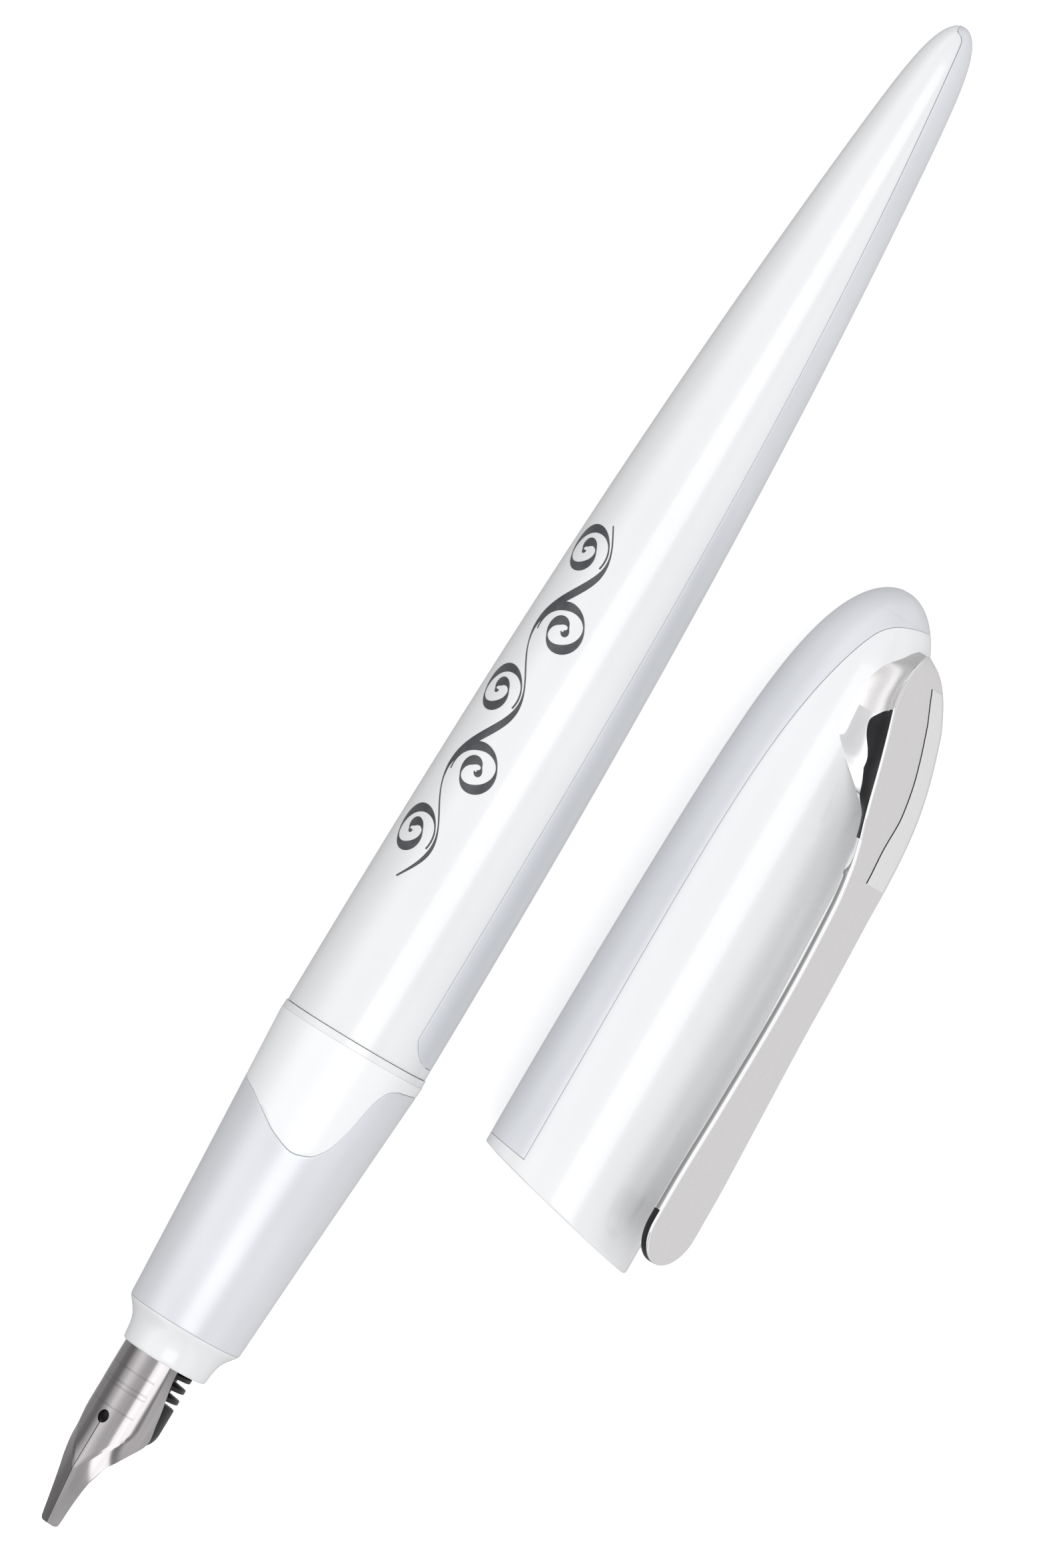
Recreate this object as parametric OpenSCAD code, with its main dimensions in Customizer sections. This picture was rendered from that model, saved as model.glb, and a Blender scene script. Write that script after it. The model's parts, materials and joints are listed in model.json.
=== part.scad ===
// Calligraphy fountain pen with an italic nib, lying uncapped with its cap beside it.
// Pen coordinates run along X from the nib's tip at 0 to the tail, about the pen's own axis.
// Cap coordinates run along X from the mouth at 0 to the dome, about the cap's own axis.

/* [Pen] */
// Length of the uncapped pen, nib tip to tail
pen_len = 140; // [139:0.5:141]
// Outer radius of the barrel at its front end
barrel_r = 6.37; // [6.3:0.01:6.4]
// Outer radius of the thin ring at the barrel's mouth
ring_r = 6.47; // [6.45:0.01:6.55]
// Where the section ends and the barrel begins
joint_x = 45.2; // [45:0.1:45.4]
// Wall of the barrel shell
barrel_wall = 1.25; // [1.1:0.05:1.3]
// Depth of the pearl strips let into the barrel and the cap
strip_depth = 0.5; // [0.4:0.05:0.55]

/* [Section] */
// Radius of the front edge of the white nose
nose_r = 3.85; // [3.8:0.01:3.9]
// Where the nose starts
nose_x = 16.0; // [15.8:0.1:16.2]
// Where the pearl grip starts
grip_x = 19.3; // [19.1:0.1:19.5]
// Thickness of the grip sleeve
grip_wall = 0.6; // [0.5:0.05:0.65]
// Radius of the threaded spigot over its crests
thread_r = 4.98; // [4.9:0.01:5]
// Advance of the section thread in one turn
thread_pitch = 1.5; // [1.5:0.1:1.6]
// Number of thread turns
thread_turns = 5; // [4:1:5]

/* [Nib] */
// Width of the italic tip
nib_tip_w = 1.8; // [1.4:0.1:1.8]
// Outer radius of the nib's shoulders
nib_r = 3.5; // [3.45:0.01:3.52]
// Sheet thickness of the nib
nib_t = 0.28; // [0.25:0.01:0.3]
// Turn of the nib about the pen's axis, away from straight up
nib_turn = 32; // [28:1:36]
// Radius of the feed
feed_r = 2.92; // [2.85:0.01:2.95]

/* [Ink] */
// Radius of a standard short ink cartridge
cartridge_r = 3.7; // [3.6:0.05:3.75]
// Length of a standard short ink cartridge
cartridge_len = 38; // [37:0.5:38.5]
// Radius of the piercing nipple
nipple_r = 1.55; // [1.5:0.01:1.56]

/* [Cap] */
// Length of the cap along its axis
cap_len = 56.05; // [55.5:0.05:56.5]
// Outer radius of the cap near its mouth
cap_r = 7.46; // [7.4:0.01:7.5]
// Radius of the bore at the cap's mouth
cap_bore_r = 6.62; // [6.6:0.01:6.64]
// Slope of the cap's oblique mouth, from square
mouth_slope = 13.8; // [12:0.2:15]
// Turn of the clip about the cap's axis, up from level
clip_turn = 36; // [34:1:38]
// Thickness of the clip's blade
clip_t = 0.8; // [0.7:0.05:0.9]

/* [Layout] */
// Distance between the pen's axis and the cap's, at the cap's mouth
cap_aside = 20.47; // [20:0.1:22]
// Distance of the cap's mouth behind the nib's tip
cap_back = 43.05; // [42:0.1:44]
// Angle between the two axes
cap_skew = 1.2; // [0:0.1:2]

/* [Hidden] */

white = [0.95, 0.95, 0.96];
pearl_white = [0.93, 0.94, 0.95];
pearl_grey = [0.76, 0.78, 0.82];
black = [0.06, 0.06, 0.07];
steel = [0.55, 0.54, 0.54];
chrome = [0.82, 0.82, 0.83];
clear_blue = [0.35, 0.5, 0.85];
round_fn = 96;
gap = 0.03;              // running clearance, and the seam between neighbouring pieces
clip_reach = 10.8;       // how far the clip stands out sideways from the cap's axis
centre_y = (ring_r - cap_aside - clip_reach) / 2;

// ---- outlines: radius as a function of the distance along the axis ----
tail_x = pen_len + 0.1;
function barrel_t(x) = (x - joint_x) / (tail_x - joint_x);
function barrel_out(x) = barrel_r * (1 - 0.685 * pow(barrel_t(x), 2.36))
                       * sqrt(max(0, 1 - pow(barrel_t(x), 47)));
function grip_out(x) = 4.09 + 0.0456 * x + 0.00018 * x * x;
function cap_t(x) = max(0, x) / cap_len;
function cap_out(x) = cap_r * (1 - 0.205 * pow(cap_t(x), 1.79))
                    * sqrt(max(0, 1 - pow(cap_t(x), 9.3)));

// Stations along an axis, closer together towards the far end where the outline turns in
function stations(a, b, n, crowd = 1) = [for (i = [0:n]) a + (b - a) * (1 - pow(1 - i / n, crowd))];
barrel_xs = stations(joint_x + 0.62, tail_x - 0.02, 30, 1.9);
cap_xs = stations(0, cap_len - 0.02, 24, 1.9);

// A turned solid along X from its outline, given as [radius, distance] points
module turned(points) rotate([0, 90, 0]) rotate_extrude($fn = round_fn) polygon(points);
module rod(r, a, b) translate([a, 0, 0]) rotate([0, 90, 0]) cylinder(r = r, h = b - a, $fn = round_fn);
module cone(ra, rb, a, b)
    translate([a, 0, 0]) rotate([0, 90, 0]) cylinder(r1 = ra, r2 = rb, h = b - a, $fn = round_fn);
module pen_frame() translate([-pen_len / 2, -centre_y, ring_r]) children();
module cap_frame()
    translate([cap_back - pen_len / 2, -centre_y - cap_aside, cap_r]) rotate([0, 0, cap_skew]) children();
// Turns the nib's own frame, whose +Z is the nib's back, about the pen's axis
module nib_frame() pen_frame() rotate([-nib_turn, 0, 0]) children();
// The clip's own frame: +Y points out from the cap's axis through the clip's middle
module clip_frame() cap_frame() rotate([180 - clip_turn, 0, 0]) children();

// ---- barrel ----
bore_r = thread_r + 0.5;       // bore that holds the thread sleeve
sleeve_end = joint_x + 11;     // where the thread sleeve ends
cavity_r = 4.75;               // cartridge chamber behind the sleeve
cavity_end = joint_x + 76;     // where the chamber ends inside the tail
// Edge of the barrel's strip seen from above, as a distance to the side of the axis
function strip_edge(x) = -4.25 + 4.4 * pow(max(0, barrel_t(x)), 3.2);

module barrel_body() turned(concat([[0, joint_x + 0.62]],
    [for (x = barrel_xs) [barrel_out(x), x]], [[0, tail_x - 0.02]]));
module barrel_core(depth) turned(concat([[0, joint_x]],
    [for (x = barrel_xs) [max(0.2, barrel_out(x) - depth), x - depth * pow(barrel_t(x), 12)]],
    [[0, tail_x - depth]]));
// Region to the strip's side of its edge, with a round front end
module strip_region(grow = 0) {
    xs = stations(joint_x, tail_x + 2, 18);
    front = joint_x + 1.6 - grow;
    round_r = 2.5;
    half_h = 4.9 + grow;
    intersection() {
        translate([0, 0, -10]) linear_extrude(20)
            polygon(concat([for (x = xs) [x, strip_edge(x) + grow]], [[tail_x + 2, -10], [joint_x, -10]]));
        translate([0, 10, 0]) rotate([90, 0, 0]) linear_extrude(20) union() {
            translate([front + round_r, -half_h]) square([tail_x, 2 * half_h]);
            translate([front, round_r - half_h]) square([tail_x, 2 * (half_h - round_r)]);
            for (s = [-1, 1]) translate([front + round_r, s * (half_h - round_r)])
                circle(r = round_r, $fn = 48);
        }
    }
}
module barrel_shell() color(white) pen_frame() difference() {
    barrel_body();
    rod(bore_r, joint_x, sleeve_end + gap);
    turned([[0, sleeve_end], [cavity_r, sleeve_end], [cavity_r, joint_x + 44],
            [barrel_out(cavity_end) - barrel_wall, cavity_end], [0, cavity_end + 2]]);
    difference() { strip_region(gap); barrel_core(strip_depth); }
}
module barrel_strip() color(pearl_grey) pen_frame() intersection() {
    difference() { barrel_body(); barrel_core(strip_depth - gap); }
    strip_region();
}
module barrel_ring() color(white) pen_frame() difference() {
    turned([[0, joint_x], [ring_r - 0.1, joint_x], [ring_r, joint_x + 0.1], [ring_r, joint_x + 0.5],
            [ring_r - 0.1, joint_x + 0.6], [0, joint_x + 0.6]]);
    rod(thread_r + 0.12, joint_x - 1, joint_x + 1);
}
module thread_sleeve() color(white) pen_frame() difference() {
    rod(bore_r - gap, joint_x + 0.62, sleeve_end);
    rod(thread_r + 0.05, joint_x, joint_x + 1.9 + thread_pitch * thread_turns);
    rod(cartridge_r + 0.5, joint_x, sleeve_end + 1);
}

// ---- section ----
collar_end = joint_x - gap;
spigot_end = joint_x + 1.7 + thread_pitch * thread_turns;
thread_root_r = thread_r - 0.45;
groove_r = 4.3;               // bottom of the seal's groove
groove_x = joint_x + 0.45;    // front of the seal's groove
groove_w = 1.1;               // width of the seal's groove
seal_r = 0.33;                // radius of the seal's cord
stem_hole_r = 1.45;           // way for the feed's stem and the ink
chamber_r = 3.95;             // chamber for the cartridge
seat_x = 27.5;                // bottom of the nib unit's socket
tube_x = 29.5;                // back of the piercing tube's flange
holder_r = 3.9;               // outside of the nib holder within the section
core_r = 5.03;                // outer radius of the nose where the grip starts

// The grip's wavy rear edge: its distance along the pen at angle a from straight up,
// positive towards the clip's side of the layout. A tongue of the collar comes forward on top.
tongue_x = 35.75;
crest_x = 44.3;
left_x = 39;
function ease(s) = let (c = max(0, min(1, s))) c * c * (3 - 2 * c);
function wave_right(a) = tongue_x + (crest_x - tongue_x) * pow(ease((a - 10) / 36), 1.8);
function wave_left(a) = tongue_x + (left_x - tongue_x) * ease(a / 62);
function wave_x(a) = a >= 0 ? wave_right(a) : wave_left(-a);
function wave_under(a) = left_x + (crest_x - left_x) * ease((a + 90) / 180);
wave_angles = [for (i = [-15:15]) i * 6];
wave_r = 6.3;                 // radius on which the wave is laid out

// Region in front of the wavy edge, grown rearwards by the given amount
module before_wave(grow = 0) {
    reach = 8;
    for (side = [1, -1]) {
        edge = [for (a = wave_angles) [(side > 0 ? wave_x(a) : wave_under(a)) + grow, -wave_r * sin(a)]];
        last = edge[len(edge) - 1][0];
        translate([0, 0, side > 0 ? 0 : -reach]) linear_extrude(reach)
            polygon(concat([[0, reach], [edge[0][0], reach]], edge, [[last, -reach], [0, -reach]]));
    }
}
module grip_form(inset = 0) turned(concat([[0, grip_x]],
    [for (x = stations(grip_x, collar_end, 8)) [grip_out(x) - inset, x]], [[0, collar_end]]));

module section_core() color(pearl_white) pen_frame() difference() {
    union() {
        grip_form(grip_wall);
        rod(groove_r, joint_x - 1, groove_x + groove_w);
        rod(thread_r, joint_x - 1, groove_x);
        rod(thread_root_r, groove_x + groove_w, spigot_end);
        for (i = [0:thread_turns - 1]) translate([groove_x + groove_w + 0.15 + i * thread_pitch, 0, 0])
            turned([[0, 0], [thread_root_r, 0], [thread_r, 0.4], [thread_r, 0.6], [thread_root_r, 1], [0, 1]]);
    }
    rod(holder_r + 0.02, 0, seat_x);
    rod(stem_hole_r, 0, tube_x);
    rod(chamber_r, tube_x - 1.5, spigot_end + 1);
}
module section_collar() color(pearl_white) pen_frame() difference() {
    grip_form();
    grip_form(grip_wall - 0.01);
    before_wave(gap);
}
module grip_sleeve() color(pearl_grey) pen_frame() intersection() {
    difference() {
        grip_form();
        grip_form(grip_wall - 0.01);
    }
    before_wave();
}
module piercing_tube() color(pearl_white) pen_frame() difference() {
    union() {
        rod(chamber_r - 0.01, tube_x - 1.4, tube_x);
        rod(nipple_r, tube_x - 0.5, tube_x + 5.2);
        cone(nipple_r, nipple_r - 0.5, tube_x + 5.2, tube_x + 6.4);
    }
    rod(0.7, 0, tube_x + 10);
}
module seal_ring() color(black) pen_frame() translate([groove_x + groove_w / 2, 0, 0])
    rotate([0, 90, 0]) rotate_extrude($fn = round_fn) translate([groove_r + gap + seal_r, 0])
        circle(r = seal_r, $fn = 32);

// ---- nib unit ----
nib_root_x = 24;              // rear end of the nib inside its holder
feed_front_x = 9.7;
feed_lift = nib_r - nib_t - feed_r - 0.02;   // the feed sits up against the nib
tip_drop = 1.0;               // how far the tip lies below the shoulders
bend_x = 8.2;                 // where the point leaves the curved shoulders
neck_x = 17.5;                // narrowest place of the nose
module nib_holder() color(white) pen_frame() difference() {
    union() {
        turned([[0, nose_x], [nose_r - 0.12, nose_x], [nose_r, nose_x + 0.12], [nose_r + 0.1, neck_x],
                [nose_r + 0.35, neck_x + 0.7], [core_r - 0.2, grip_x - 0.3], [core_r, grip_x - 2 * gap],
                [core_r - 0.1, grip_x - gap], [0, grip_x - gap]]);
        rod(holder_r, nose_x + 2, seat_x - 0.1);
    }
    rod(nib_r + 0.05, nose_x - 1, seat_x - 1.2);
    rod(stem_hole_r, 0, seat_x + 1);
}
module nib_outline() {
    half = nib_tip_w / 2;
    shoulder = 4;
    polygon([[0, -half], [0, half], [3.4, half + 0.35], [5.5, half + 0.9], [7.2, half + 1.7],
             [8.9, 3.1], [9.9, shoulder], [nib_root_x, shoulder], [nib_root_x, -shoulder],
             [9.9, -shoulder], [8.9, -3.1], [7.2, -half - 1.7], [5.5, -half - 0.9], [3.4, -half - 0.35]]);
}
module nib() color(steel) nib_frame() difference() {
    union() {
        intersection() {
            difference() { rod(nib_r, bend_x, nib_root_x); rod(nib_r - nib_t, 0, 40); }
            linear_extrude(10) nib_outline();
            translate([0, -10, 1.1]) cube([40, 20, 10]);
        }
        // The point: a flat blade that slopes down to the tip and runs into the shoulders
        intersection() {
            translate([0, 0, nib_r - tip_drop]) rotate([0, -atan(tip_drop / bend_x) * 0.93, 0])
                translate([0, 0, -nib_t]) linear_extrude(nib_t) nib_outline();
            rod(nib_r, -1, 12);
        }
    }
    translate([9.95, 0, 0]) cylinder(r = 0.55, h = 10, $fn = 32);
    translate([-1, -0.05, 0]) cube([10.5, 0.1, 10]);
}
module feed() color(black) nib_frame() translate([0, 0, feed_lift]) difference() {
    union() {
        cone(feed_r - 0.9, feed_r, feed_front_x, feed_front_x + 1);
        rod(feed_r, feed_front_x + 1, 12.9);
        rod(stem_hole_r - feed_lift - 0.05, 12, seat_x - 0.2);
        for (i = [0:2]) rod(feed_r, 13.45 + i * 0.95, 13.9 + i * 0.95);
        rod(feed_r, nose_x + 0.3, seat_x - 1.4);
    }
    translate([0, -0.3, feed_r - 0.5]) cube([60, 0.6, 2]);
}

// ---- ink ----
neck_mouth_x = tube_x + 0.15;
cartridge_mouth_r = nipple_r + 0.04;
module ink_cartridge() color(clear_blue) pen_frame() difference() {
    union() {
        rod(2.6, neck_mouth_x, neck_mouth_x + 5);
        cone(2.6, cartridge_r, neck_mouth_x + 4.2, neck_mouth_x + 6);
        rod(cartridge_r, neck_mouth_x + 6, neck_mouth_x + cartridge_len - 0.5);
        cone(cartridge_r, cartridge_r - 0.5, neck_mouth_x + cartridge_len - 0.5, neck_mouth_x + cartridge_len);
    }
    rod(cartridge_mouth_r, neck_mouth_x - 1, neck_mouth_x + 8);
    cone(cartridge_mouth_r, cartridge_r - 0.6, neck_mouth_x + 6.9, neck_mouth_x + 9);
    rod(cartridge_r - 0.6, neck_mouth_x + 9, neck_mouth_x + cartridge_len - 1);
}
ball_r = 1.3;
module cartridge_ball() color(white) pen_frame()
    translate([neck_mouth_x + 11, 0, -(cartridge_r - 0.6 - ball_r - 0.05)]) sphere(r = ball_r, $fn = 32);

// ---- cap ----
cap_strip_x = 1.27;           // where the cap's strip starts, in line with the cap's axis
cap_strip_slope = 7.5;        // slope of the strip's front end, from square
mouth_x = -0.47;              // where the mouth crosses the cap's axis
snap_x = 8;                   // front end of the friction collar
snap_end = 11;                // rear end of the friction collar
snap_out_r = 6.8;             // outside of the friction collar
snap_r = 6.2;                 // inside of the friction collar, which hugs the section
inner_x = 26.5;               // mouth of the inner cap
inner_end = 50.5;             // closed end of the inner cap
cap_cavity_r = 6.05;          // inside of the shell behind the friction collar
dome_r = 4.1;                 // inside of the shell at the inner cap's closed end
// Edge of the cap's strip seen from above
function cap_strip_edge(x) = 4.25 - 0.15 * cap_t(x) - 5.6 * pow(cap_t(x), 6.5)
                           - 3.3 * pow(max(0, x) / 54, 80);

module cap_body() turned(concat([[0, -4], [cap_r, -4]], [for (x = cap_xs) [cap_out(x), x]],
    [[0, cap_len - 0.02]]));
module cap_core(depth) turned(concat([[0, -5], [cap_r - depth, -5]],
    [for (x = cap_xs) [max(0.2, cap_out(x) - depth), x - depth * pow(cap_t(x), 12)]],
    [[0, cap_len - depth]]));
// Everything in front of a plane that crosses the cap's axis at x and slopes back on the strip's side
module front_cut(x, slope)
    translate([x, 0, 0]) rotate([0, 0, -slope]) translate([-40, -20, -20]) cube(40);
module cap_strip_region(grow = 0) {
    xs = stations(-5, 54.5, 26, 1.9);
    difference() {
        translate([0, 0, -10]) linear_extrude(20)
            polygon(concat([for (x = xs) [x, cap_strip_edge(x) - grow]], [[cap_len + 1, -10], [cap_len + 1, 12], [-5, 12]]));
        front_cut(cap_strip_x - grow, cap_strip_slope);
    }
}
module cap_shell() color(white) cap_frame() difference() {
    cap_body();
    front_cut(mouth_x, mouth_slope);
    rod(cap_bore_r, -6, snap_x + 0.01);
    rod(snap_out_r + 0.01, snap_x, snap_end);
    rod(cap_cavity_r, 0, inner_x);
    cone(cap_cavity_r, dome_r, inner_x, inner_end + 0.1);
    difference() { cap_strip_region(gap); cap_core(strip_depth); }
}
module cap_strip() color(pearl_grey) cap_frame() intersection() {
    difference() { cap_body(); cap_core(strip_depth - gap); }
    cap_strip_region();
}
module snap_collar() color(white) cap_frame() difference() {
    rod(snap_out_r, snap_x + 0.02, snap_end - 0.02);
    rod(snap_r, 0, snap_end + 1);
}
module inner_cap() color(pearl_white) cap_frame() difference() {
    cone(cap_cavity_r - gap, dome_r - gap, inner_x, inner_end);
    cone(5.15, 3.3, inner_x - 0.01, inner_end - 1);
}

// ---- clip ----
flex_x = 36;                  // where the blade bends out of the root
foot_x = 41;                  // front of the root's foot on the cap
face_r = 11.1;                // distance of the clip's flat face from the cap's axis
root_end = 52.3;
// Height of the clip's face above the cap's axis
function face_at(x) = x < 24 ? face_r : face_r - 0.0084 * pow(x - 24, 2.0);
// Half the width of the clip's face
function blade_half(x) = 2.4 + 0.75 * pow(max(0, 1 - x / 24), 1.6)
                       + 1.75 * ease((x - 29) / 12) - 4.1 * pow(max(0, (x - 44) / (root_end - 44)), 2.2);
tip_x = 2.85;                 // centre of the blade's round tip
ridge_r = 0.65;               // radius of the ridge under the tip
ridge_half = 1.4;             // half the straight length of the ridge
clip_xs = stations(tip_x, root_end - 0.1, 20);
module clip_plan() {
    tip_r = blade_half(tip_x);
    side = [for (x = clip_xs) [x, max(0.3, blade_half(x))]];
    polygon(concat([for (a = [-85:10:85]) [tip_x - tip_r * cos(a), tip_r * sin(a)]], side,
                   [for (i = [len(side) - 1:-1:0]) [side[i][0], -side[i][1]]]));
}
module clip_side(drop) {
    xs = stations(-0.5, root_end, 24);
    polygon(concat([for (x = xs) [x, face_at(x)]],
                   [for (i = [len(xs) - 1:-1:0]) [xs[i], face_at(xs[i]) - drop]]));
}
// The root stands on the cap behind foot_x and carries the blade's thickness forward of it
module clip_root() color(chrome) difference() {
    clip_frame() intersection() {
        translate([0, 0, -8]) linear_extrude(16) union() {
            clip_side(clip_t + 0.3);
            intersection() {
                clip_side(9);
                polygon([[foot_x - 2.5, 14], [foot_x - 2.5, 9], [foot_x, 6.5], [foot_x, 0], [60, 0], [60, 14]]);
            }
        }
        rotate([-90, 0, 0]) linear_extrude(14) clip_plan();
        translate([flex_x + 0.02, 0, -10]) cube([30, 20, 20]);
    }
    cap_frame() cap_body();
}
module clip_blade() color(chrome) clip_frame() intersection() {
    translate([0, 0, -8]) linear_extrude(16) clip_side(clip_t);
    rotate([-90, 0, 0]) linear_extrude(14) clip_plan();
    translate([-2, 0, -10]) cube([flex_x + 2, 20, 20]);
}
// A rounded ridge across the underside of the tip, which grips the cloth
module clip_bead() color(chrome) clip_frame() difference() {
    translate([0.95, face_r - clip_t, 0]) union() {
        translate([0, 0, -ridge_half]) cylinder(r = ridge_r, h = 2 * ridge_half, $fn = 32);
        for (s = [-1, 1]) translate([0, 0, s * ridge_half]) sphere(r = ridge_r, $fn = 32);
    }
    translate([-5, face_r - clip_t, -5]) cube(10);
}

barrel_shell();
barrel_strip();
barrel_ring();
thread_sleeve();
seal_ring();
section_core();
section_collar();
grip_sleeve();
piercing_tube();
nib_holder();
nib();
feed();
ink_cartridge();
cartridge_ball();
cap_shell();
cap_strip();
inner_cap();
snap_collar();
clip_root();
clip_blade();
clip_bead();
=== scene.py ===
"""Looks of a calligraphy fountain pen that lies uncapped, with its cap beside it.

Shapes are worked out in millimetres in two frames: the pen's, whose x runs along its axis from
the nib's tip to the tail, and the cap's, whose x runs along its axis from the mouth to the dome.
"""
import json
import math

import bmesh
import bpy
from mathutils import Matrix, Vector


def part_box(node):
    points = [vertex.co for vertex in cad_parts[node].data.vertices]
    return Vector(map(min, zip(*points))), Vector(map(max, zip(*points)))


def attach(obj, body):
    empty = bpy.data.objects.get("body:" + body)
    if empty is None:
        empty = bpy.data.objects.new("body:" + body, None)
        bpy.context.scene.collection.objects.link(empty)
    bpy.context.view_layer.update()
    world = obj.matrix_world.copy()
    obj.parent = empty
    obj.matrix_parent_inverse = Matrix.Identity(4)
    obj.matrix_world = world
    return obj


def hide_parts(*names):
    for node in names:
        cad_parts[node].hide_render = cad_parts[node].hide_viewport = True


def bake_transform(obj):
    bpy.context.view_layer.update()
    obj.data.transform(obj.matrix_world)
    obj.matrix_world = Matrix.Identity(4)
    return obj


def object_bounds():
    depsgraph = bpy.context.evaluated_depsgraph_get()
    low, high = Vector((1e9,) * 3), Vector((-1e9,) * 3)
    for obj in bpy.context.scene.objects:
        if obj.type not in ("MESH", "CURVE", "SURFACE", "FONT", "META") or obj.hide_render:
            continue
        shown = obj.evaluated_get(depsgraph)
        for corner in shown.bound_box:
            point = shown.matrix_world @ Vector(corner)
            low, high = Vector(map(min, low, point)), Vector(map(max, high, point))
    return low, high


MM = 0.001
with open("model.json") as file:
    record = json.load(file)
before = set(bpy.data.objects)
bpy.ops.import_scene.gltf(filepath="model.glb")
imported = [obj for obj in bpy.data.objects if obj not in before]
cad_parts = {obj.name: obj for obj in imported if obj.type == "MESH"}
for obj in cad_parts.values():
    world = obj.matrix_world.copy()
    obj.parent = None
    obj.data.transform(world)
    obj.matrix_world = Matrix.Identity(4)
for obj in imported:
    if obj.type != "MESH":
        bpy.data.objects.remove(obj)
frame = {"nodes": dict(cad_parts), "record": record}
cad_low, cad_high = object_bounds()

# ---- driving sizes, in mm, as in the CAD model ----
PEN_LEN = 140
TAIL_X = PEN_LEN + 0.1
JOINT_X = 45.2
BARREL_X = JOINT_X + 0.62
BARREL_R = 6.37
GRIP_X = 19.3
GRIP_WALL = 0.6
STRIP_DEPTH = 0.5
NIB_R = 3.5
NIB_T = 0.28
NIB_TURN = math.radians(32)
CAP_LEN = 56.05
CAP_R = 7.46
CAP_BORE_R = 6.62
MOUTH_X = -0.47
MOUTH_SLOPE = math.tan(math.radians(13.8))
CLIP_TURN = math.radians(36)
CLIP_T = 0.8
FLEX_X = 36
SEAM = 0.03  # sets the width of the joint lines
FILLET = 0.07  # radius of the small rounded edges

# ---- frames ----
ring_low, ring_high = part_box("barrel_ring")
ring_mid = (ring_low + ring_high) / 2
PEN = Matrix.Translation((ring_low.x - JOINT_X * MM, ring_mid.y, ring_mid.z))
NIB = PEN @ Matrix.Rotation(-NIB_TURN, 4, "X")
mouth = next(m for m in frame["record"]["mounts"] if m["name"] == "cap_mouth")
MOUTH_MOUNT_X = 2.93  # how far the mount lies inside the cap's mouth
mouth_axis = Vector(mouth["axis"])
CAP = (
    Matrix.Translation(Vector(mouth["pos_m"]) + mouth_axis * MOUTH_MOUNT_X * MM)
    @ Matrix.Rotation(math.atan2(-mouth_axis.y, -mouth_axis.x), 4, "Z")
)
# The clip's frame: +Y points out from the cap's axis through the clip's middle
CLIP = CAP @ Matrix.Rotation(math.pi - CLIP_TURN, 4, "X")


# ---- outlines ----
def ease(s):
    s = max(0.0, min(1.0, s))
    return s * s * (3 - 2 * s)


def barrel_out(x):
    """The barrel's outer radius, which tapers to a round tail."""
    t = max(0.0, (x - JOINT_X) / (TAIL_X - JOINT_X))
    return BARREL_R * (1 - 0.685 * t**2.36) * math.sqrt(max(0.0, 1 - t**47))


def barrel_strip_edge(x):
    """The inner edge of the barrel's strip, seen from above, with a short hook at the tail."""
    t = max(0.0, (x - JOINT_X) / (TAIL_X - JOINT_X))
    return -4.25 + 3.95 * t**3.1 + min(0.75, 18 * t**430)


def grip_out(x):
    return 4.09 + 0.0456 * x + 0.00018 * x * x


def cap_out(x):
    t = max(0.0, min(1.0, x / CAP_LEN))
    return CAP_R * (1 - 0.205 * t**1.79) * math.sqrt(max(0.0, 1 - t**9.3))


def cap_strip_edge(x):
    """The inner edge of the cap's strip, which runs straight and then across the dome."""
    t = max(0.0, x / CAP_LEN)
    return 4.25 - 0.15 * t - 5.6 * t**6.5 - 3.3 * (x / 54) ** 80


def fillet(distance, radius=FILLET):
    """How far a rounded edge lies below its surface, this far in from the edge."""
    if distance >= radius:
        return 0.0
    return radius - math.sqrt(max(0.0, radius**2 - (radius - distance) ** 2))


def spread(low, high, count, edge=FILLET):
    """Stations from low to high, close together within a fillet's width of both ends."""
    near = [edge * k for k in (0, 0.08, 0.3, 0.6, 1)]
    inner = [low + edge + (high - low - 2 * edge) * k / count for k in range(1, count)]
    return [low + d for d in near] + inner + [high - d for d in reversed(near)]


def crowded(low, high, count, power):
    """Stations from low to high, closer together towards high."""
    return [low + (high - low) * (1 - (1 - k / count) ** power) for k in range(count + 1)]


def smooth_through(points, x):
    """Monotone smooth curve through a few given (x, y) points."""
    if x <= points[0][0]:
        return points[0][1]
    if x >= points[-1][0]:
        return points[-1][1]
    slopes = [(b[1] - a[1]) / (b[0] - a[0]) for a, b in zip(points, points[1:])]

    def tangent(i):
        if i in (0, len(points) - 1):
            return slopes[min(i, len(slopes) - 1)]
        before, after = slopes[i - 1], slopes[i]
        return 0.0 if before * after <= 0 else 2 * before * after / (before + after)

    i = max(k for k in range(len(slopes)) if points[k][0] <= x)
    (x0, y0), (x1, y1) = points[i], points[i + 1]
    h = x1 - x0
    t = (x - x0) / h
    a, b = tangent(i) * h, tangent(i + 1) * h
    return (
        y0 * (2 * t**3 - 3 * t**2 + 1)
        + a * (t**3 - 2 * t**2 + t)
        + y1 * (3 * t**2 - 2 * t**3)
        + b * (t**3 - t**2)
    )


# ---- mesh building ----
def polar(x, radius, angle):
    """A point at this angle from +Z, turning towards -Y, round the frame's x axis."""
    return (x, -radius * math.sin(angle), radius * math.cos(angle))


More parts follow.
